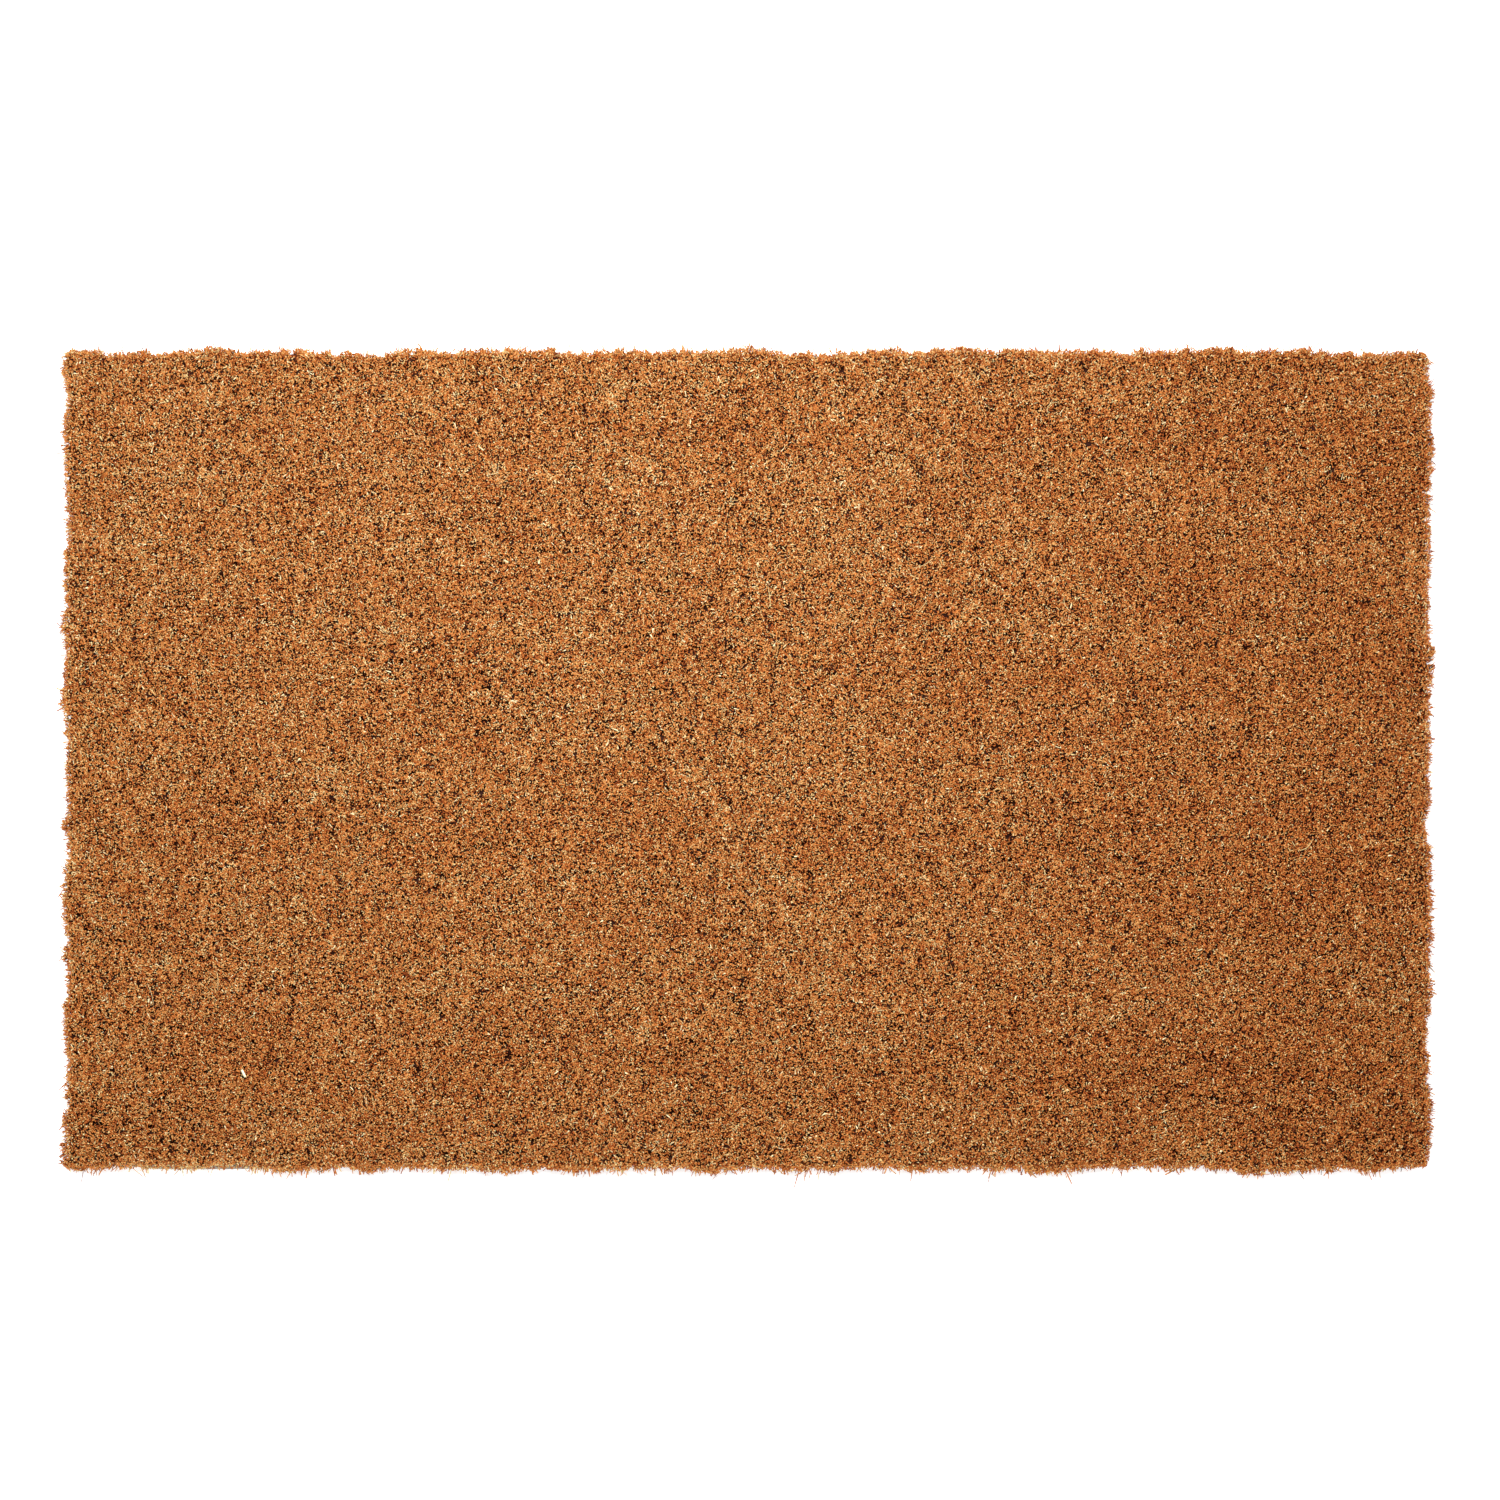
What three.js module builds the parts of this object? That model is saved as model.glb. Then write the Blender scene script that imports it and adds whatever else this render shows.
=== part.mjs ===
// Coir door mat: lines of cut coir yarn standing upright in a cast PVC backing.
//
// The backing is one flat PVC sheet. While it is still soft, yarn is cut to short lengths and pressed
// upright into it, one line of tufts beside the next, so each line ends up with its foot in a socket of
// its own. Above the sheet the yarn opens out until neighbouring lines touch and make a level pile.
//
// Frame: millimetres, +Z up, origin at the centre of the underside, X along the mat's length, Y across it.
import * as THREE from "three";

// The mat is cut to size through its pile and its backing together, so both end flush.
const MAT_LENGTH = 750;
const MAT_WIDTH = 450;
const BACKING_THICKNESS = 3;

// Pile
const ROW_COUNT = 58; // lines of tufts across the width
const PILE_HEIGHT = 12; // above the backing's upper face
const YARN_THICKNESS = 4.4; // of a line where it stands in the backing
const SOCKET_DEPTH = 1.8; // from the backing's upper face
const SOCKET_CLEARANCE = 0.3; // all round a line's foot
const ROW_GAP = 0.3; // between neighbouring lines where they are widest
const BLOOM_HEIGHT = 7; // above the backing, where the yarn has opened out fully
const CROWN_DROP = 1.2; // how far a line's sheared top is rounded down at its long edges
const CROWN_INSET = 1.5; // how far in from the long edges that rounding starts

const ROW_PITCH = MAT_WIDTH / ROW_COUNT;

const coir = new THREE.MeshStandardMaterial({ color: 0xa76a3b, roughness: 0.9, metalness: 0 });
const pvc = new THREE.MeshStandardMaterial({ color: 0xb9b2a4, roughness: 0.6, metalness: 0 });

// Place across the width of a line's centre, counted from the front edge.
function rowCentre(index) {
  return -MAT_WIDTH / 2 + (index + 0.5) * ROW_PITCH;
}

// A closed outline in the YZ plane, pushed along X for the given length and centred on the origin.
function extrudeAlongX(outline, length) {
  const geometry = new THREE.ExtrudeGeometry(outline, { depth: length, bevelEnabled: false });
  geometry.translate(0, 0, -length / 2);
  // The outline's x becomes Y, its y becomes Z, and the direction of the push becomes X.
  geometry.applyMatrix4(new THREE.Matrix4().set(0, 0, 1, 0, 1, 0, 0, 0, 0, 1, 0, 0, 0, 0, 0, 1));
  return geometry;
}

// The sheet's cross-section: a flat underside, and one open-topped socket for each line of tufts.
function backingOutline() {
  const halfWidth = MAT_WIDTH / 2;
  const halfSocket = YARN_THICKNESS / 2 + SOCKET_CLEARANCE;
  const socketFloor = BACKING_THICKNESS - SOCKET_DEPTH;
  const outline = new THREE.Shape();
  outline.moveTo(-halfWidth, 0);
  outline.lineTo(halfWidth, 0);
  outline.lineTo(halfWidth, BACKING_THICKNESS);
  for (let index = ROW_COUNT - 1; index >= 0; index--) {
    const centre = rowCentre(index);
    outline.lineTo(centre + halfSocket, BACKING_THICKNESS);
    outline.lineTo(centre + halfSocket, socketFloor);
    outline.lineTo(centre - halfSocket, socketFloor);
    outline.lineTo(centre - halfSocket, BACKING_THICKNESS);
  }
  outline.lineTo(-halfWidth, BACKING_THICKNESS);
  outline.closePath();
  return outline;
}

// A line of tufts in cross-section: a foot in the socket, sides that open out, and a sheared top.
function rowOutline() {
  const halfFoot = YARN_THICKNESS / 2;
  const halfBloom = (ROW_PITCH - ROW_GAP) / 2;
  const foot = BACKING_THICKNESS - SOCKET_DEPTH + SOCKET_CLEARANCE;
  const bloom = BACKING_THICKNESS + BLOOM_HEIGHT;
  const top = BACKING_THICKNESS + PILE_HEIGHT;
  const outline = new THREE.Shape();
  outline.moveTo(-halfFoot, foot);
  outline.lineTo(halfFoot, foot);
  outline.lineTo(halfFoot, BACKING_THICKNESS);
  outline.lineTo(halfBloom, bloom);
  outline.lineTo(halfBloom, top - CROWN_DROP);
  outline.lineTo(halfBloom - CROWN_INSET, top);
  outline.lineTo(-halfBloom + CROWN_INSET, top);
  outline.lineTo(-halfBloom, top - CROWN_DROP);
  outline.lineTo(-halfBloom, bloom);
  outline.lineTo(-halfFoot, BACKING_THICKNESS);
  outline.closePath();
  return outline;
}

function pvcBacking() {
  const mesh = new THREE.Mesh(extrudeAlongX(backingOutline(), MAT_LENGTH), pvc);
  mesh.name = "pvc_backing";
  return mesh;
}

// All lines share one shape. They are numbered from the front edge to the back edge.
function tuftRows() {
  const rows = new THREE.Group();
  const geometry = extrudeAlongX(rowOutline(), MAT_LENGTH);
  for (let index = 0; index < ROW_COUNT; index++) {
    const mesh = new THREE.Mesh(geometry, coir);
    mesh.name = "tuft_row_" + String(index + 1).padStart(2, "0");
    mesh.position.y = rowCentre(index);
    rows.add(mesh);
  }
  return rows;
}

const doorMat = new THREE.Group();
doorMat.add(pvcBacking(), tuftRows());

export default doorMat;
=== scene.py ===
# Coir door mat: the looks of the imported CAD model, in its own frame (metres, +Z up, underside at Z = 0).
#
# Each CAD line of tufts is replaced by its real fibres: a lumpy body where the yarn is still tight, near
# black with painted shade where it shows in the pits, and the splayed and sheared fibre ends that stand
# out of it.
# The plain CAD backing is replaced by a wavily cut PVC sheet with a cast underside.
import math

import bpy
import numpy as np
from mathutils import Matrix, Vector


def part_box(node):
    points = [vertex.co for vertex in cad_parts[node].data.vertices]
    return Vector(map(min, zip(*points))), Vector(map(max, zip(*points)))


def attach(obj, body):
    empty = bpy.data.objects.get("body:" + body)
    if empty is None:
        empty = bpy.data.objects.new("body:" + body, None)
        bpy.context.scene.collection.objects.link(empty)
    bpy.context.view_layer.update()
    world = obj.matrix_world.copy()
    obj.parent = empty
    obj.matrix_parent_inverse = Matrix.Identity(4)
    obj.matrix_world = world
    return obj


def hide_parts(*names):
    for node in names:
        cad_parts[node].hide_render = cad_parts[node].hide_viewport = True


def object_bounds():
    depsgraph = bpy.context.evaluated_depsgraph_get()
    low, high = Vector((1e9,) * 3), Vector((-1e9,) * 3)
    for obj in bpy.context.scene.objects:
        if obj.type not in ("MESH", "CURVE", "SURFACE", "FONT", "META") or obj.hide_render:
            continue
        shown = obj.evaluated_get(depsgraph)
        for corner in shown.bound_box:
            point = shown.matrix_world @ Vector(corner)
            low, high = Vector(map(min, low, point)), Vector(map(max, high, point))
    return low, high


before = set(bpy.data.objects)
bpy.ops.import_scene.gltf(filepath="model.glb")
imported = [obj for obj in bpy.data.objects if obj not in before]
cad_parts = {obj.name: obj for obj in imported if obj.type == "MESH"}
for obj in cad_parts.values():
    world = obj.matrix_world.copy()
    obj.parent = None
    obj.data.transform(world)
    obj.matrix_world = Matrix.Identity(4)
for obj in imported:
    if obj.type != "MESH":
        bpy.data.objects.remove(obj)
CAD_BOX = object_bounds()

MM = 0.001
LOW, HIGH = (np.array(corner) for corner in CAD_BOX)
SIZE = HIGH - LOW
ROWS = sorted(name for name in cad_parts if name.startswith("tuft_row_"))
BACKING = "pvc_backing"
BACKING_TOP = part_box(BACKING)[1][2]
PILE_TOP = HIGH[2]

# Tufts
TUFT_PITCH = 5.4 * MM  # along a line
TUFT_COUNT = round(SIZE[0] / TUFT_PITCH)
CELL = np.array([SIZE[0] / TUFT_COUNT, SIZE[1] / len(ROWS)])  # what one tuft takes up
LINE_SLIP = 0.4  # of a cell: the range in which each line is shifted along
TUFT_JITTER = 0.45 * MM
MINGLE = 0.3  # of a cell, that a tuft's fibres reach in among its neighbours'
EVEN_SPREAD = np.array([0.7548777, 0.5698403])  # steps that fill a cell evenly with any number of places
WANDER = 0.9 * MM  # how far a line strays from straight
WANDER_SCALE = 60 * MM
DOME = 0.45 * MM  # how far the sheared top of a tuft rounds down to its edges
SHEAR_SPREAD = 0.5 * MM  # how unevenly the fibres are sheared
TUFT_LEAN = 0.3 * MM  # what all the fibre ends of a tuft lean alike
FIELD_LEAN = 0.4 * MM  # and those of the tufts round about
LEAN_SCALE = 30 * MM
PERIOD_RANGE = (0.6, 1.8)  # of its scale, for the waves that make up a smooth field

# Colour map: the fibres' own shade runs across it, from dark to pale, and height up it, which adds painted
# shade for depth in the pile: the lower, the darker
SHADE_STEP = 0.008  # between the corners of a fibre, so that it takes up some of the map
MAP_LIMITS = (0.002, 0.998)
TOP_HEIGHT = 0.97  # of a fibre end at the sheared top
DEEP_HEIGHT = 0.3  # of a fibre's start, deep in the pile, in painted shade
DEPTH_PAINTED_SHADE = 0.13  # painted shade: down the map for each millimetre below the sheared top
LINE_SHADE_SPREAD = 0.012
TUFT_SHADE_SPREAD = 0.01
BLOTCH_SHADE = 0.03  # how much lighter or darker the patches are
BLOTCH_SCALE = 70 * MM
GOLDEN_SHARE = 0.06  # of the tufts, that are paler than the rest
GOLDEN_SHADE = 0.08
SHADE_DRIFT = 0.035  # how much lighter the back edge is than the front
END_DRIFT = 0.065  # how much darker the right-hand end is than the middle
END_DRIFT_FROM = 0.08  # of the mat's length to the right of its middle, where that begins
END_DRIFT_LENGTH = 0.3  # of the mat's length, over which it comes

# Fibre ends that bend over
BENT_PER_TUFT = 17
BENT_RADIUS = 0.27 * MM
BENT_RADIUS_SPREAD = 0.3
BENT_START = 5.0 * MM  # below the sheared top, inside the yarn's body
BENT_GATHER = 0.7  # how near a fibre starts to its tuft's middle, as a share of where it bends
KNEE_DEPTH = (0.9 * MM, 2.8 * MM)  # below the sheared top, where a fibre bends over
KNEE_PAINTED_SHADE = 0.1  # down the map: painted shade at the bend, below the end
TIP_REACH = (0.6 * MM, 3.0 * MM)  # sideways from the knee to the end
TIP_DROP = 0.3 * MM  # the most that an end hangs below its knee
SPLAY_TURN = 1.3  # radians, to either side of straight outwards
BENT_SHADE = 0.54
BENT_SHADE_SPREAD = 0.22
BENT_SHADE_LIMITS = (0.03, 0.92)

# Fibre ends that stand nearly straight
UPRIGHT_PER_TUFT = 76
UPRIGHT_RADIUS = 0.385 * MM
UPRIGHT_RADIUS_SPREAD = 0.25
UPRIGHT_START = 4.6 * MM  # below the sheared top
UPRIGHT_LEAN = 0.8 * MM
UPRIGHT_SHADE = 0.5
UPRIGHT_SHADE_SPREAD = 0.235
UPRIGHT_SHADE_LIMITS = (0.03, 0.87)

# Full-length fibres on the mat's four sides
EDGE_FIBRES = 36  # for each tuft that stands at a side
EDGE_RADIUS = 0.26 * MM
EDGE_RADIUS_SPREAD = 0.25
EDGE_BAND = (0.15, 0.5)  # of a cell outwards from the tuft's middle, where they stand
EDGE_FOOT = 0.2 * MM  # below the backing's top
EDGE_BURIED = 0.5 * MM  # further down, inside the backing
YARN_SHARE = 0.78  # of its cell, each way, that a tuft takes up where it leaves the backing
HALFWAY_SHARE = 0.9  # the same, halfway up to the knee
EDGE_SWAY = 0.35 * MM  # off a straight line, halfway up to the knee
EDGE_LEAN = 0.5 * MM
EDGE_DROP = 1.6 * MM  # how far the pile rounds down at the sides
EDGE_KNEE = (1.0 * MM, 2.6 * MM)  # below a fibre's end
EDGE_LEAST_REACH = 0.2 * MM
EDGE_REACH_OUT = 0.95 * MM  # sideways, on average, past the least
EDGE_PUSH = (0.4, 1.6)  # how much of that reach each tuft has
EDGE_TURN = 0.9  # radians, to either side of straight outwards
EDGE_SHADE = 0.51
EDGE_SHADE_SPREAD = 0.2
EDGE_SHADE_LIMITS = (0.03, 0.88)
EDGE_HEIGHTS = [0.5, 0.5, 0.68, 0.85, 0.97]  # up the map, from foot to end: painted shade, darkest at the foot
HAIR_SHARE = 0.035  # of the edge fibres, which stick out
HAIR_REACH = (1.5 * MM, 4.2 * MM)
HAIR_THINNESS = 0.6

# Pits between the tufts
PIT_SHARE = 0.32  # of the tufts, that have one beside them
PIT_RADII_RANGE = (0.35 * MM, 0.85 * MM)

# Long loose fibres lying on the pile
STRAYS_PER_ROW = 4
STRAY_LENGTH = (4 * MM, 14 * MM)
STRAY_RADIUS = 0.16 * MM
STRAY_THICKNESSES = (0.7, 1.4)  # shares of that radius
STRAY_STOPS = 6
STRAY_BEND = 0.35  # radians from stop to stop
STRAY_DEPTH = 1.2 * MM  # below the sheared top, where its arch springs from
STRAY_ARCH = 1.3 * MM
STRAY_ARC = (0.15, 0.85)  # of half a turn, from its one end to the other
STRAY_INSET = 1 * MM  # from the mat's sides
STRAY_SHADES = (0.6, 0.9)
# Up the map: little painted shade, as they lie on top of the pile
STRAY_HEIGHTS = (0.92, 0.98)

# A chip of straw caught in the pile
STRAW_AT = (-0.3695, -0.3825)  # in shares of the mat's length and width from its middle
STRAW_DEPTH = 0.4 * MM
STRAW_HALF_LENGTH = 2.2 * MM
STRAW_HEADING = np.array([0.45, -0.9, 0])
STRAW_POINT = 0.02  # of its half length, that its blunt first end comes to a point in
STRAW_RADIUS = 0.8 * MM
STRAW_SHADE = 0.97
# Up the map: little painted shade, as it lies near the top
STRAW_HEIGHTS = (0.9, 0.96)

# The yarn's body, under the splayed ends
BODY_STEPS_PER_TUFT = 2
BODY_INSET = 1.5 * MM  # from the mat's ends
BODY_FOOT = 0.3 * MM  # below the backing's top
BODY_CROWN = 3.2 * MM  # below the sheared top at a tuft's middle
BODY_VALLEY = 4.4 * MM  # below the sheared top between tufts
BODY_SWELL = 0.05  # how much wider it is at a tuft
BODY_SHAKE = 0.22 * MM
BODY_OUTLINE = [  # across a line: shares of its half width and of its height
    (-0.8, 0.0), (-1.08, 0.4), (-1.04, 0.78), (-0.4, 1.0),
    (0.4, 1.0), (1.04, 0.78), (1.08, 0.4), (0.8, 0.0),
]
BODY_OUTER_SIDE = 0.75  # of its half width, on the mat's front and back
BODY_SHADE = 0.4
BODY_SHADE_SPREAD = 0.12
PIT_PAINTED_SHADE = 0.06  # up the map: painted shade, near black, on the body under the pile, where it shows in the pits
BODY_SIDE_HEIGHT = 0.42  # up the map, on the mat's four sides, where the painted shade is lighter

# The mat's cut edges
WAVE_PERIODS = np.array([139, 61, 37, 23, 12.5, 8.3]) * MM
WAVE_SIZES = np.array([0.7, 0.7, 0.55, 0.35, 0.35, 0.35]) * MM
EDGE_REACH = 12 * MM  # how far in from an edge the pile follows its waves
CORNER_RADII = {  # left or right, front or back
    (-1, 1): 1.5 * MM, (1, 1): 6 * MM, (-1, -1): 2 * MM, (1, -1): 6 * MM,
}

# The thin stretch of the front line, which shows the backing
THIN_AT = LOW[0] + 0.093 * SIZE[0]
THIN_WIDTH = 0.053 * SIZE[0]
THIN_DEPTH = 1.6 * MM  # how far in from the edge its fibres start
THIN_BARE = 2.4 * MM  # how far the backing reaches out there past its usual line
THIN_MISSING = 0.3  # of its edge fibres
THIN_SHADE = 0.3  # how much paler the others are
THIN_SINK = 0.5  # of its height, that the yarn's body loses

# Backing
BACKING_INSET = 1.5 * MM  # the pile hides its edge
BACKING_GRID = (220, 132)  # points along and across the sheet
DIMPLE_DEPTH = 0.09 * MM
CUT_HEIGHTS = (0.1, 0.5, 0.92)  # shares of the sheet's thickness
CUT_ROUGHNESS = 0.07 * MM
CUT_BULGE = 0.25 * MM

# Studio
FLOOR_REACH = 6.0
KEY_LIGHT_AT = (-0.06, 0.32, 1.15)
KEY_LIGHT_SIZE = 0.5
KEY_LIGHT_POWER = 36
LENS = 100  # millimetres, as is the sensor's width
SENSOR_WIDTH = 36
VIEW_MIDDLE = (1.4 * MM, 5.8 * MM)
VIEW_WIDTH = 825 * MM


def main():
    rng = np.random.default_rng(11)
    coir = coir_material()
    for index, node in enumerate(ROWS):
        piece = tuft_row(rng, index, node, coir)
        settle(piece, node)
    piece = backing(rng, pvc_material())
    settle(piece, BACKING)
    studio()
    camera()


def settle(piece, node):
    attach(piece, "root")
    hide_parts(node)


def mesh_object(name, points, triangles, places, material):
    """A piece from its points, triangles and, if it has them, each point's place on the colour map."""
    mesh = bpy.data.meshes.new(name)
    corners = triangles.ravel()
    mesh.vertices.add(len(points))
    mesh.vertices.foreach_set("co", points.astype(np.float32).ravel())
    mesh.loops.add(len(corners))
    mesh.loops.foreach_set("vertex_index", corners.astype(np.int32))
    mesh.polygons.add(len(triangles))
    mesh.polygons.foreach_set("loop_start", np.arange(0, len(corners), 3, dtype=np.int32))
    mesh.update(calc_edges=True)
    mesh.shade_smooth()
    if places is not None:
        layer = mesh.uv_layers.new(name="OFBake")
        layer.uv.foreach_set("vector", places[corners].astype(np.float32).ravel())
    mesh.materials.append(material)
    piece = bpy.data.objects.new(name, mesh)
    bpy.context.scene.collection.objects.link(piece)
    return piece


def unit(vectors):
    return vectors / np.maximum(np.linalg.norm(vectors, axis=-1, keepdims=True), 1e-12)


def strands(rng, paths, radii, shades, heights):
    """Closed three-sided strands along their paths: each starts in a point and ends in a cut face."""
    count, stops = paths.shape[:2]
    along = unit(np.gradient(paths, axis=1))
    side = unit(np.cross(along, unit(rng.normal(size=(count, 1, 3)))))
    up = np.cross(along, side)
    turn = np.arange(3)[:, None] * 2 * math.pi / 3
    rim = side[:, :, None] * np.cos(turn) + up[:, :, None] * np.sin(turn)
    rings = paths[:, :, None] + rim * radii[:, None, None, None]
    points = np.concatenate([paths[:, :1], rings[:, 1:].reshape(count, -1, 3)], axis=1)
    across = np.tile(np.array([-1, 0, 1]) * SHADE_STEP, stops - 1)
    place_s = np.concatenate([shades[:, None], shades[:, None] + across], axis=1)
    lift = np.tile(np.array([0, 1, 0]) * SHADE_STEP, stops - 1)
    place_t = np.concatenate([heights[:, :1], np.repeat(heights[:, 1:], 3, axis=1) + lift], axis=1)
    pattern = [(0, 1 + (a + 1) % 3, 1 + a) for a in range(3)]
    for ring in range(stops - 2):
        low, high = 3 * ring + 1, 3 * ring + 4
        for a in range(3):
            b = (a + 1) % 3
            pattern += [(low + a, low + b, high + b), (low + a, high + b, high + a)]
    last = 3 * (stops - 2) + 1
    pattern.append((last, last + 1, last + 2))
    size = points.shape[1]
    triangles = np.array(pattern)[None] + (np.arange(count) * size)[:, None, None]
    places = np.stack([place_s, place_t], axis=-1).clip(*MAP_LIMITS)
    return points.reshape(-1, 3), triangles.reshape(-1, 3), places.reshape(-1, 2)


def joined(parts):
    counts = np.cumsum([0] + [len(part[0]) for part in parts])
    points = np.concatenate([part[0] for part in parts])
    triangles = np.concatenate([part[1] + count for part, count in zip(parts, counts)])
    places = np.concatenate([part[2] for part in parts])
    return points, triangles, places


def waves(seed, periods, sizes):
    """A smooth random line: the sum of sines with the given periods and sizes."""
    rng = np.random.default_rng(seed)
    turns = [(2 * math.pi / p, rng.uniform(0, 2 * math.pi), s) for p, s in zip(periods, sizes)]
    return lambda place: sum(s * np.sin(k * place + phase) for k, phase, s in turns)


def soft_noise(seed, scale, terms=24):
    """A smooth random field over the mat, between about -1 and 1."""
    rng = np.random.default_rng(seed)
    angles = rng.uniform(0, 2 * math.pi, terms)
    turns = 2 * math.pi / (scale * rng.uniform(*PERIOD_RANGE, terms))
    phases = rng.uniform(0, 2 * math.pi, terms)

    def field(x, y):
        total = 0
        for angle, turn, phase in zip(angles, turns, phases):
            total = total + np.sin(turn * (x * math.cos(angle) + y * math.sin(angle)) + phase)
        return total * math.sqrt(2 / terms) / 2
    return field


def pit_places():
    """Middles and radii of the pits, one place for each tuft; the radius is 0 where there is no pit."""
    rng = np.random.default_rng(301)
    shape = (len(ROWS), TUFT_COUNT)
    across = (np.arange(len(ROWS))[:, None] + rng.uniform(0, 1, shape)) / len(ROWS)
    along = (np.arange(TUFT_COUNT) + rng.uniform(0, 1, shape)) / TUFT_COUNT
    places = LOW[:2] + np.stack([along, across], axis=-1) * SIZE[:2]
    radii = rng.uniform(*PIT_RADII_RANGE, shape) * (rng.uniform(size=shape) < PIT_SHARE)
    return places, radii


EDGE_WAVES = {side: waves(100 + i, WAVE_PERIODS, WAVE_SIZES)
              for i, side in enumerate(["left", "right", "front", "back"])}
LEAN_X = soft_noise(201, LEAN_SCALE)
LEAN_Y = soft_noise(202, LEAN_SCALE)
BLOTCH = soft_noise(203, BLOTCH_SCALE)
LINE_WANDER = soft_noise(204, WANDER_SCALE)
PITS, PIT_RADII = pit_places()


def thinness(x):
    """1 in the thin stretch of the front line, falling to 0 beside it."""
    return np.exp(-np.abs((x - THIN_AT) / THIN_WIDTH) ** 4)


def follow_edges(places):
    """Moves points with the waves of the nearest edges and pulls in the rounded corners."""
    x, y = places[..., 0], places[..., 1]
    left = np.clip(1 - (x - LOW[0]) / EDGE_REACH, 0, 1)
    right = np.clip(1 - (HIGH[0] - x) / EDGE_REACH, 0, 1)
    front = np.clip(1 - (y - LOW[1]) / EDGE_REACH, 0, 1)
    back = np.clip(1 - (HIGH[1] - y) / EDGE_REACH, 0, 1)
    places[..., 0] = x - left * EDGE_WAVES["left"](y) + right * EDGE_WAVES["right"](y)
    places[..., 1] = y - front * EDGE_WAVES["front"](x) * (1 - thinness(x)) + back * EDGE_WAVES["back"](x)
    for (sx, sy), radius in CORNER_RADII.items():
        corner = np.array([HIGH[0] if sx > 0 else LOW[0], HIGH[1] if sy > 0 else LOW[1]])
        centre = corner - radius * np.array([sx, sy])
        away = places[..., :2] - centre
        inside = (away[..., 0] * sx > 0) & (away[..., 1] * sy > 0)
        length = np.linalg.norm(away, axis=-1)
        pull = np.where(inside & (length > radius), radius / np.maximum(length, 1e-9), 1.0)
        places[..., :2] = centre + away * pull[..., None]
    return places


def near_pits(points, index):
    """For each pit close to a line's points: its radius, and how far the points are from its middle."""
    near = np.floor((points[:, 0] - LOW[0]) / SIZE[0] * TUFT_COUNT).astype(int)
    for line in range(max(index - 1, 0), min(index + 2, len(ROWS))):
        for step in (-1, 0, 1):
            at = np.clip(near + step, 0, TUFT_COUNT - 1)
            away = points[:, :2] - PITS[line, at]
            yield PIT_RADII[line, at], away, np.maximum(np.linalg.norm(away, axis=1), 1e-6)


def in_pit(points, index):
    inside = np.zeros(len(points), bool)
    for radius, _, length in near_pits(points, index):
        inside |= length < radius
    return inside


def open_pits(points, index):
    """Pushes a line's points out of the pits on both of its sides."""
    for radius, away, length in near_pits(points, index):
        push = np.where(length < radius, radius / length - 1, 0.0)
        points[:, :2] += away * push[:, None]
    return points


def tuft_row(rng, index, node, material):
    """One line of tufts: where they stand, their shades and leans, and all their fibres."""
    low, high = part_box(node)
    middle_y = (low[1] + high[1]) / 2
    slip = rng.uniform(-0.5, 0.5) * LINE_SLIP * CELL[0]
    tuft_x = LOW[0] + (np.arange(TUFT_COUNT) + 0.5) * CELL[0] + slip
    tuft_x += rng.normal(size=TUFT_COUNT) * TUFT_JITTER
    tuft_y = middle_y + rng.normal(size=TUFT_COUNT) * TUFT_JITTER + WANDER * LINE_WANDER(tuft_x, middle_y)
    tuft_shade = rng.normal() * LINE_SHADE_SPREAD + rng.normal(size=TUFT_COUNT) * TUFT_SHADE_SPREAD
    tuft_shade += BLOTCH(tuft_x, tuft_y) * BLOTCH_SHADE
    golden = rng.uniform(size=TUFT_COUNT) < GOLDEN_SHARE
    far_end = np.clip((tuft_x / SIZE[0] - END_DRIFT_FROM) / END_DRIFT_LENGTH, 0, 1)
    tuft_shade += golden * GOLDEN_SHADE + SHADE_DRIFT * (middle_y / SIZE[1]) - END_DRIFT * far_end
    thin = thinness(tuft_x) if index == 0 else np.zeros(TUFT_COUNT)
    tuft_lean = TUFT_LEAN * rng.normal(size=(TUFT_COUNT, 2))
    tuft_lean += FIELD_LEAN * np.column_stack([LEAN_X(tuft_x, tuft_y), LEAN_Y(tuft_x, tuft_y)])

    parts = [
        yarn_body(rng, low, high, tuft_x, index),
        bent_ends(rng, index, tuft_x, tuft_y, tuft_shade, tuft_lean),
        upright_ends(rng, index, tuft_x, tuft_y, tuft_shade, tuft_lean),
        strays(rng, middle_y),
    ]
    for end, outward in ((0, (-1, 0)), (TUFT_COUNT - 1, (1, 0))):
        at_end = [values[[end]] for values in (tuft_x, tuft_y, tuft_shade, thin)]
        parts.append(edge_fibres(rng, *at_end, outward))
    if index == 0:
        parts.append(edge_fibres(rng, tuft_x, tuft_y, tuft_shade, thin, (0, -1)))
        parts.append(straw())
    if index == len(ROWS) - 1:
        parts.append(edge_fibres(rng, tuft_x, tuft_y, tuft_shade, thin, (0, 1)))
    points, triangles, places = joined(parts)
    return mesh_object(node.replace("tuft_row", "coir_row"), points, triangles, places, material)


def spots(rng, tuft, tuft_x, tuft_y, index):
    """A place for each fibre in its tuft's cell, leaving out the fibres that would stand in a pit."""
    # Each call starts at another number, so that no two sets of fibres stand alike.
    number = rng.integers(1000) + np.arange(len(tuft))
    spot = number[:, None] * EVEN_SPREAD % 1 - 0.5 + rng.uniform(-MINGLE, MINGLE, (len(tuft), 2))
    middle = np.column_stack([tuft_x[tuft], tuft_y[tuft]])
    place = middle + spot * CELL
    # What would stand beyond the mat's sides is turned back into it.
    place = LOW[:2] + np.abs(place - LOW[:2])
    place = HIGH[:2] - np.abs(HIGH[:2] - place)
    place[:, 1] += THIN_DEPTH * thinness(place[:, 0]) * np.clip(1 - (place[:, 1] - LOW[1]) / CELL[1], 0, 1)
    keep = ~in_pit(place, index)
    return (place - middle)[keep], tuft[keep]


def rounded_down(spot):
    """How far below the sheared top a place in its cell is, on the dome of its tuft."""
    return DOME * ((2 * spot / CELL) ** 2).sum(axis=1)


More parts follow.
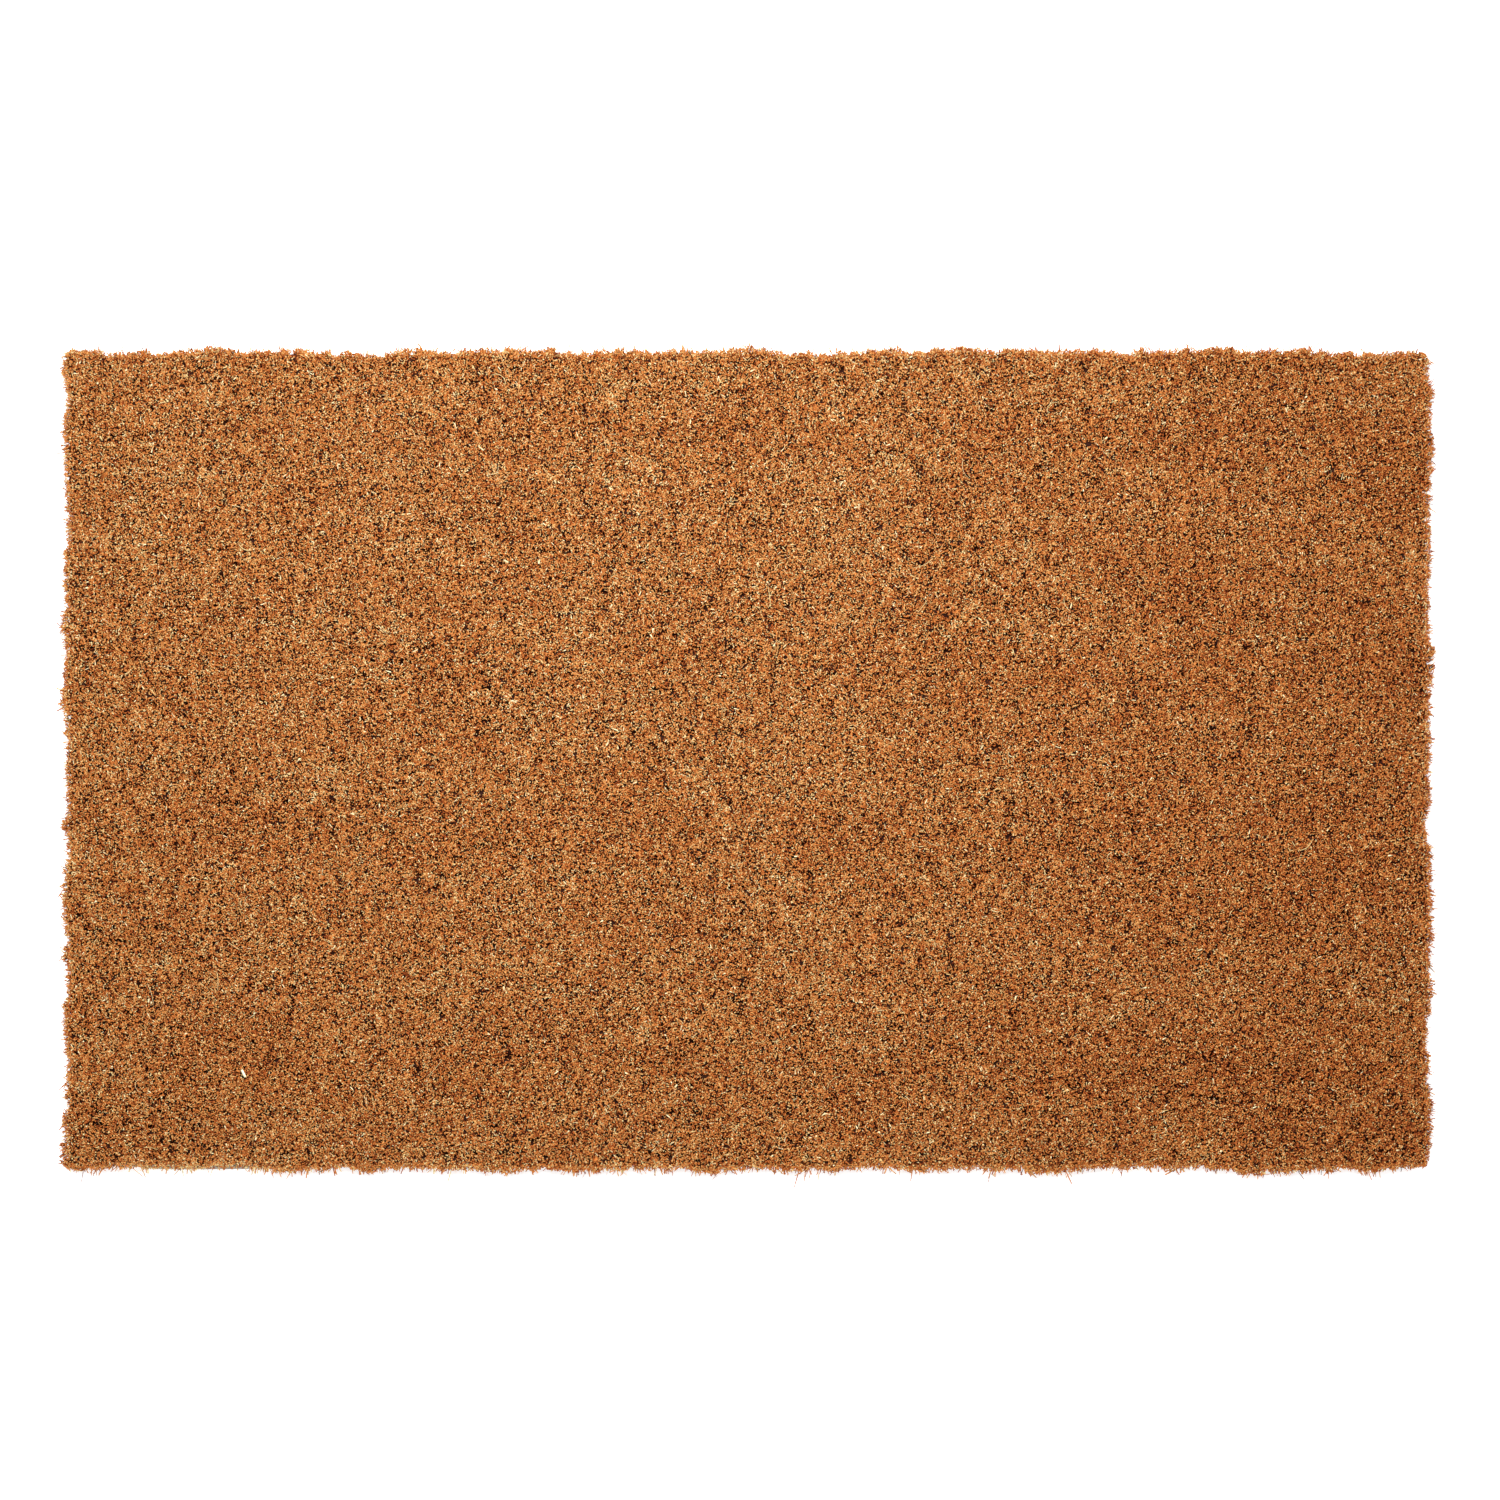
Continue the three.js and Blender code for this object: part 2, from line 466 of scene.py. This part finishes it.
def painted_shade_height(z):
    """Place on the colour map, up it, of fibre ends: painted shade, the lower an end, the darker."""
    return np.clip(TOP_HEIGHT - DEPTH_PAINTED_SHADE * (PILE_TOP - z) / MM, DEEP_HEIGHT, TOP_HEIGHT)


def bent_ends(rng, index, tuft_x, tuft_y, tuft_shade, tuft_lean):
    """The sheared fibre ends that bend over and splay outwards from their tufts."""
    tuft = np.repeat(np.arange(TUFT_COUNT), BENT_PER_TUFT)
    spot, tuft = spots(rng, tuft, tuft_x, tuft_y, index)
    count = len(tuft)
    angle = np.arctan2(spot[:, 1], spot[:, 0])
    knee = np.zeros((count, 3))
    knee[:, 0] = tuft_x[tuft] + spot[:, 0]
    knee[:, 1] = tuft_y[tuft] + spot[:, 1]
    knee[:, 2] = PILE_TOP - rng.uniform(*KNEE_DEPTH, count)
    # Ends splay outwards from their tuft, but each also has a turn of its own.
    turn = angle + rng.normal(size=count) * SPLAY_TURN
    reach = rng.uniform(*TIP_REACH, count)
    tip = knee.copy()
    tip[:, 0] += reach * np.cos(turn)
    tip[:, 1] += reach * np.sin(turn)
    tip[:, :2] += tuft_lean[tuft]
    tip[:, 2] = PILE_TOP - np.abs(rng.normal(size=count)) * SHEAR_SPREAD
    tip[:, 2] -= rounded_down(spot)
    tip[:, 2] = np.maximum(tip[:, 2], knee[:, 2] - TIP_DROP)
    tip = open_pits(tip, index)
    clear = ~in_pit(0.5 * (knee + tip), index)
    knee, tip, tuft, spot = knee[clear], tip[clear], tuft[clear], spot[clear]
    count = len(tuft)
    root = np.zeros((count, 3))
    root[:, 0] = tuft_x[tuft] + BENT_GATHER * spot[:, 0]
    root[:, 1] = tuft_y[tuft] + BENT_GATHER * spot[:, 1]
    root[:, 2] = PILE_TOP - BENT_START
    paths = follow_edges(np.stack([root, knee, tip], axis=1))
    radii = BENT_RADIUS * np.exp(rng.normal(size=count) * BENT_RADIUS_SPREAD)
    shades = BENT_SHADE + tuft_shade[tuft] + rng.normal(size=count) * BENT_SHADE_SPREAD
    shades = shades.clip(*BENT_SHADE_LIMITS)
    # Painted shade: each fibre darker at its foot and its knee than at its end
    knee_height = painted_shade_height(knee[:, 2]) - KNEE_PAINTED_SHADE
    heights = np.column_stack([np.full(count, DEEP_HEIGHT), knee_height, painted_shade_height(tip[:, 2])])
    return strands(rng, paths, radii, shades, heights)


def upright_ends(rng, index, tuft_x, tuft_y, tuft_shade, tuft_lean):
    """The fibre ends that stand nearly straight between the bent ones."""
    tuft = np.repeat(np.arange(TUFT_COUNT), UPRIGHT_PER_TUFT)
    spot, tuft = spots(rng, tuft, tuft_x, tuft_y, index)
    count = len(tuft)
    root = np.column_stack([tuft_x[tuft] + spot[:, 0], tuft_y[tuft] + spot[:, 1],
                            np.full(count, PILE_TOP - UPRIGHT_START)])
    lean = rng.normal(size=(count, 2)) * UPRIGHT_LEAN
    tip = root + np.column_stack([lean, np.full(count, UPRIGHT_START)])
    tip[:, :2] += tuft_lean[tuft]
    tip[:, 2] -= np.abs(rng.normal(size=count)) * SHEAR_SPREAD + rounded_down(spot)
    tip = open_pits(tip, index)
    clear = ~(in_pit(0.5 * (root + tip), index) | in_pit(0.25 * root + 0.75 * tip, index))
    root, tip, tuft = root[clear], tip[clear], tuft[clear]
    count = len(tuft)
    paths = follow_edges(np.stack([root, tip], axis=1))
    radii = UPRIGHT_RADIUS * np.exp(rng.normal(size=count) * UPRIGHT_RADIUS_SPREAD)
    shades = UPRIGHT_SHADE + tuft_shade[tuft] + rng.normal(size=count) * UPRIGHT_SHADE_SPREAD
    shades = shades.clip(*UPRIGHT_SHADE_LIMITS)
    # Painted shade: each fibre darker at its foot than at its end
    heights = np.column_stack([np.full(count, DEEP_HEIGHT), painted_shade_height(tip[:, 2])])
    return strands(rng, paths, radii, shades, heights)


def edge_fibres(rng, tuft_x, tuft_y, tuft_shade, thin, outward):
    """Whole fibres, from the backing up, on the side of the tufts that faces outward."""
    outward = np.array(outward)
    tuft = np.repeat(np.arange(len(tuft_x)), EDGE_FIBRES)
    tuft = tuft[rng.uniform(size=len(tuft)) > THIN_MISSING * thin[tuft]]
    count = len(tuft)
    spot = rng.uniform(-0.5, 0.5, (count, 2))
    out = spot @ outward
    spot += (rng.uniform(*EDGE_BAND, count) - out)[:, None] * outward
    spot *= CELL
    spot -= (THIN_DEPTH * thin[tuft])[:, None] * outward
    middle = np.column_stack([tuft_x[tuft], tuft_y[tuft]])
    lean = (rng.uniform(0, 1, count) * EDGE_LEAN)[:, None] * outward
    sway = rng.normal(size=(count, 2)) * EDGE_SWAY
    turn = rng.normal(size=count) * EDGE_TURN
    turned = np.column_stack([outward[0] * np.cos(turn) - outward[1] * np.sin(turn),
                              outward[0] * np.sin(turn) + outward[1] * np.cos(turn)])
    push = rng.uniform(*EDGE_PUSH, len(tuft_x))[tuft]
    reach = EDGE_LEAST_REACH + rng.exponential(EDGE_REACH_OUT, count) * push
    hair = rng.uniform(size=count) < HAIR_SHARE
    reach = np.where(hair, rng.uniform(*HAIR_REACH, count), reach)
    top = PILE_TOP - rng.uniform(0, EDGE_DROP, count)
    knee_z = top - rng.uniform(*EDGE_KNEE, count)
    foot_z = np.full(count, BACKING_TOP - EDGE_FOOT)
    stops = [
        np.column_stack([middle + spot * YARN_SHARE, foot_z - EDGE_BURIED]),
        np.column_stack([middle + spot * YARN_SHARE, foot_z]),
        np.column_stack([middle + spot * HALFWAY_SHARE + sway, (foot_z + knee_z) / 2]),
        np.column_stack([middle + spot + lean, knee_z]),
        np.column_stack([middle + spot + lean + turned * reach[:, None], top]),
    ]
    paths = follow_edges(np.stack(stops, axis=1))
    radii = EDGE_RADIUS * np.exp(rng.normal(size=count) * EDGE_RADIUS_SPREAD)
    radii *= np.where(hair, HAIR_THINNESS, 1)
    shades = EDGE_SHADE + tuft_shade[tuft] + rng.normal(size=count) * EDGE_SHADE_SPREAD
    shades += THIN_SHADE * thin[tuft]
    shades = shades.clip(*EDGE_SHADE_LIMITS)
    heights = np.tile(EDGE_HEIGHTS, (count, 1))
    return strands(rng, paths, radii, shades, heights)


def strays(rng, middle_y):
    """Long loose fibres that lie in loose arcs on a line's pile."""
    count = STRAYS_PER_ROW
    step = rng.uniform(*STRAY_LENGTH, count) / (STRAY_STOPS - 1)
    heading = rng.uniform(0, 2 * math.pi, count)
    bend = rng.normal(size=count) * STRAY_BEND
    margin = STRAY_LENGTH[1]
    start_x = rng.uniform(LOW[0] + margin, HIGH[0] - margin, count)
    place = np.column_stack([start_x, np.full(count, middle_y)])
    stops = []
    for share in np.linspace(*STRAY_ARC, STRAY_STOPS):
        z = PILE_TOP - STRAY_DEPTH + STRAY_ARCH * math.sin(math.pi * share)
        stops.append(np.column_stack([place, np.full(count, z)]))
        place = place + step[:, None] * np.column_stack([np.cos(heading), np.sin(heading)])
        heading = heading + bend
    paths = np.stack(stops, axis=1)
    paths[..., :2] = paths[..., :2].clip(LOW[:2] + STRAY_INSET, HIGH[:2] - STRAY_INSET)
    radii = STRAY_RADIUS * rng.uniform(*STRAY_THICKNESSES, count)
    shades = rng.uniform(*STRAY_SHADES, count)
    heights = np.tile(np.linspace(*STRAY_HEIGHTS, STRAY_STOPS), (count, 1))
    return strands(rng, paths, radii, shades, heights)


def straw():
    """One pale chip of straw caught in the pile."""
    middle = np.array([STRAW_AT[0] * SIZE[0], STRAW_AT[1] * SIZE[1], PILE_TOP - STRAW_DEPTH])
    along = STRAW_HEADING * STRAW_HALF_LENGTH
    point = along * STRAW_POINT
    path = np.stack([middle - along - point, middle - along, middle, middle + along])[None]
    heights = np.linspace(*STRAW_HEIGHTS, path.shape[1])[None]
    rng = np.random.default_rng(5)
    return strands(rng, path, np.array([STRAW_RADIUS]), np.array([STRAW_SHADE]), heights)


def yarn_body(rng, low, high, tuft_x, index):
    """The lumpy closed body of a line, where its yarn is still tight."""
    stations = TUFT_COUNT * BODY_STEPS_PER_TUFT + 1
    x = np.linspace(low[0] + BODY_INSET, high[0] - BODY_INSET, stations)
    near = np.abs(x[:, None] - tuft_x[None]).min(axis=1) / (TUFT_PITCH / 2)
    lump = np.clip(1 - near, 0, 1)
    crown = PILE_TOP - BODY_VALLEY + (BODY_VALLEY - BODY_CROWN) * lump
    middle = (low[1] + high[1]) / 2
    width = (high[1] - low[1]) / 2 * (1.0 + BODY_SWELL * lump)
    foot = BACKING_TOP - BODY_FOOT
    ring = np.array(BODY_OUTLINE)
    # The sides of the body that are the mat's own front and back
    outer = np.zeros(len(ring), bool)
    if index == 0:
        outer |= ring[:, 0] < 0
        ring[:, 0] = ring[:, 0].clip(-BODY_OUTER_SIDE, None)
    if index == len(ROWS) - 1:
        outer |= ring[:, 0] > 0
        ring[:, 0] = ring[:, 0].clip(None, BODY_OUTER_SIDE)
    points = np.zeros((stations, len(ring), 3))
    points[..., 0] = x[:, None]
    points[..., 1] = middle + ring[None, :, 0] * width[:, None]
    points[..., 2] = foot + ring[None, :, 1] * (crown - foot)[:, None]
    shake = rng.normal(size=points.shape) * BODY_SHAKE
    shake[:, [0, -1], 2] = 0
    points += shake
    points[..., 1] += WANDER * LINE_WANDER(x, middle)[:, None]
    points = follow_edges(points)
    if index == 0:
        bare = thinness(points[..., 0]) * outer
        points[..., 1] += THIN_DEPTH * bare
        points[..., 2] -= THIN_SINK * bare * (points[..., 2] - BACKING_TOP)
    shades = BODY_SHADE + rng.normal(size=points.shape[:2]) * BODY_SHADE_SPREAD
    # Painted shade: near black on the body's top, which shows only in the pits; lighter on its ends and
    # the mat's sides
    heights = np.full(shades.shape, PIT_PAINTED_SHADE)
    heights[[0, -1]] = BODY_SIDE_HEIGHT
    heights[:, outer] = BODY_SIDE_HEIGHT
    places = np.stack([shades, heights], axis=-1).clip(*MAP_LIMITS)
    return points.reshape(-1, 3), tube(stations, len(ring)), places.reshape(-1, 2)


def tube(stations, sides):
    """The triangles of a closed tube: rings of points one after another, with a fan on each end."""
    first = np.arange(stations - 1)[:, None] * sides
    a = (first + np.arange(sides)[None]).ravel()
    b = (first + (np.arange(sides)[None] + 1) % sides).ravel()
    fan = np.array([(0, i + 1, i + 2) for i in range(sides - 2)])
    return np.concatenate([
        np.stack([a, a + sides, b + sides], axis=1),
        np.stack([a, b + sides, b], axis=1),
        fan,
        fan[:, ::-1] + (stations - 1) * sides,
    ])


def backing(rng, material):
    """The cast PVC sheet: cut along the same wavy line as the pile, with a dimpled underside."""
    columns, lines = BACKING_GRID
    x = np.linspace(LOW[0] + BACKING_INSET, HIGH[0] - BACKING_INSET, columns)
    y = np.linspace(LOW[1] + BACKING_INSET, HIGH[1] - BACKING_INSET, lines)
    sheet = np.zeros((lines, columns, 3))
    sheet[..., 0] = x[None]
    sheet[..., 1] = y[:, None]
    sheet[0, :, 1] -= thinness(x) * THIN_BARE
    sheet = follow_edges(sheet)
    under, over = sheet.copy(), sheet.copy()
    under[..., 2] = DIMPLE_DEPTH * rng.uniform(0, 1, (lines, columns))
    over[..., 2] = BACKING_TOP

    number = np.arange(lines * columns).reshape(lines, columns)
    border = np.concatenate([number[0, :-1], number[:-1, -1], number[-1, :0:-1], number[:0:-1, 0]])
    middle = (LOW[:2] + HIGH[:2]) / 2
    edge = sheet.reshape(-1, 3)[border]
    rings = []
    for height in CUT_HEIGHTS:
        ring = edge + rng.normal(size=edge.shape) * CUT_ROUGHNESS
        ring[:, :2] += unit(edge[:, :2] - middle) * CUT_BULGE
        ring[:, 2] = height * BACKING_TOP
        rings.append(ring)
    points = np.concatenate([under.reshape(-1, 3), over.reshape(-1, 3), *rings])

    a, b = number[:-1, :-1].ravel(), number[:-1, 1:].ravel()
    c, d = number[1:, 1:].ravel(), number[1:, :-1].ravel()
    lift = lines * columns
    triangles = [np.stack(corners, axis=1) for corners in ((a, c, b), (a, d, c))]
    triangles += [np.stack(corners, axis=1) + lift for corners in ((a, b, c), (a, c, d))]
    around = np.arange(len(border)) + 2 * lift
    bands = [border] + [around + level * len(border) for level in range(len(rings))] + [border + lift]
    for low, high in zip(bands, bands[1:]):
        low_next, high_next = np.roll(low, -1), np.roll(high, -1)
        triangles.append(np.stack([low, low_next, high_next], axis=1))
        triangles.append(np.stack([low, high_next, high], axis=1))
    return mesh_object("cast_backing", points, np.concatenate(triangles), None, material)


def new_material(name):
    material = bpy.data.materials.new(name)
    material.use_nodes = True
    nodes = material.node_tree.nodes
    return material, nodes, material.node_tree.links, nodes["Principled BSDF"]


def ramp(nodes, stops):
    node = nodes.new("ShaderNodeValToRGB")
    band = node.color_ramp
    while len(band.elements) < len(stops):
        band.elements.new(0.5)
    for element, (place, colour) in zip(band.elements, stops):
        element.position = place
        element.color = (*colour, 1)
    return node


def grey_ramp(nodes, stops):
    return ramp(nodes, [(place, (level, level, level)) for place, level in stops])


def noise(nodes, scale, detail):
    node = nodes.new("ShaderNodeTexNoise")
    node.inputs["Scale"].default_value = scale
    node.inputs["Detail"].default_value = detail
    return node.outputs["Fac"]


def product(nodes, links, first, second):
    """The product of two colours."""
    mix = nodes.new("ShaderNodeMix")
    mix.data_type = "RGBA"
    mix.blend_type = "MULTIPLY"
    mix.inputs["Factor"].default_value = 1.0
    links.new(first, mix.inputs["A"])
    links.new(second, mix.inputs["B"])
    return mix.outputs["Result"]


def coir_material():
    """Fibre colour by shade, with painted shade darkening it towards the foot, read from the colour map.
    """
    material, nodes, links, shader = new_material("coir fibre")
    place = nodes.new("ShaderNodeUVMap")
    place.uv_map = "OFBake"
    split = nodes.new("ShaderNodeSeparateXYZ")
    links.new(place.outputs["UV"], split.inputs[0])
    shade = ramp(nodes, [
        (0.0, (0.07, 0.011, 0.002)),
        (0.25, (0.21, 0.043, 0.007)),
        (0.5, (0.352, 0.1145, 0.0233)),
        (0.75, (0.404, 0.216, 0.0705)),
        (0.87, (0.450, 0.340, 0.158)),
        (1.0, (0.78, 0.73, 0.49)),
    ])
    links.new(split.outputs["X"], shade.inputs[0])
    # Painted shade: the lower on the map, the darker, down to near black in the pits
    painted_shade_ramp = ramp(nodes, [
        (0.0, (0.05, 0.025, 0.012)),
        (0.18, (0.07, 0.035, 0.018)),
        (0.4, (0.40, 0.27, 0.17)),
        (0.9, (1.0, 1.0, 1.0)),
    ])
    links.new(split.outputs["Y"], painted_shade_ramp.inputs[0])
    colour = product(nodes, links, shade.outputs[0], painted_shade_ramp.outputs[0])
    links.new(colour, shader.inputs["Base Color"])
    shader.inputs["Roughness"].default_value = 0.75
    shader.inputs["Specular IOR Level"].default_value = 0.1
    return material


def pvc_material():
    """Cast PVC: cloudy beige-grey with fine dark specks and a slightly pebbled skin."""
    material, nodes, links, shader = new_material("cast pvc")
    cloud = ramp(nodes, [(0.3, (0.36, 0.33, 0.27)), (0.7, (0.48, 0.445, 0.375))])
    links.new(noise(nodes, scale=35, detail=4), cloud.inputs[0])
    speck = ramp(nodes, [(0.33, (0.35, 0.30, 0.25)), (0.4, (1, 1, 1))])
    links.new(noise(nodes, scale=900, detail=1), speck.inputs[0])
    colour = product(nodes, links, cloud.outputs[0], speck.outputs[0])
    links.new(colour, shader.inputs["Base Color"])
    gloss = grey_ramp(nodes, [(0.35, 0.42), (0.65, 0.62)])
    links.new(noise(nodes, scale=120, detail=3), gloss.inputs[0])
    links.new(gloss.outputs[0], shader.inputs["Roughness"])
    bump = nodes.new("ShaderNodeBump")
    bump.inputs["Strength"].default_value = 0.35
    bump.inputs["Distance"].default_value = 0.15 * MM
    links.new(noise(nodes, scale=1400, detail=2), bump.inputs["Height"])
    links.new(bump.outputs["Normal"], shader.inputs["Normal"])
    return material


def studio():
    """A pale floor, a soft light high over the mat's back and an even white sky."""
    mesh = bpy.data.meshes.new("floor")
    corners = [(x * FLOOR_REACH, y * FLOOR_REACH, 0) for x, y in ((-1, -1), (1, -1), (1, 1), (-1, 1))]
    mesh.from_pydata(corners, [], [(0, 1, 2, 3)])
    floor = bpy.data.objects.new("floor", mesh)
    bpy.context.scene.collection.objects.link(floor)
    material, *_, shader = new_material("floor")
    shader.inputs["Base Color"].default_value = (0.92, 0.92, 0.92, 1)
    shader.inputs["Roughness"].default_value = 0.9
    shader.inputs["Emission Color"].default_value = (1, 1, 1, 1)
    shader.inputs["Emission Strength"].default_value = 0.35
    mesh.materials.append(material)

    world = bpy.data.worlds.new("studio")
    world.use_nodes = True
    world.node_tree.nodes["Background"].inputs["Color"].default_value = (1, 1, 1, 1)
    world.node_tree.nodes["Background"].inputs["Strength"].default_value = 1.0
    bpy.context.scene.world = world
    area_light("key", KEY_LIGHT_AT, KEY_LIGHT_SIZE, KEY_LIGHT_POWER)
    bpy.context.scene.view_settings.view_transform = "Standard"


def area_light(name, place, size, power):
    light = bpy.data.lights.new(name, "AREA")
    light.size = size
    light.energy = power
    lamp = bpy.data.objects.new(name, light)
    lamp.location = place
    lamp.rotation_euler = (-Vector(place)).to_track_quat("-Z", "Y").to_euler()
    bpy.context.scene.collection.objects.link(lamp)


def camera():
    """Straight above the mat, as in the photograph."""
    view = bpy.data.cameras.new("camera")
    view.lens = LENS
    view.sensor_width = SENSOR_WIDTH
    view.clip_end = 50
    eye = bpy.data.objects.new("camera", view)
    eye.location = (*VIEW_MIDDLE, PILE_TOP + VIEW_WIDTH * LENS / SENSOR_WIDTH)
    bpy.context.scene.collection.objects.link(eye)
    bpy.context.scene.camera = eye


main()
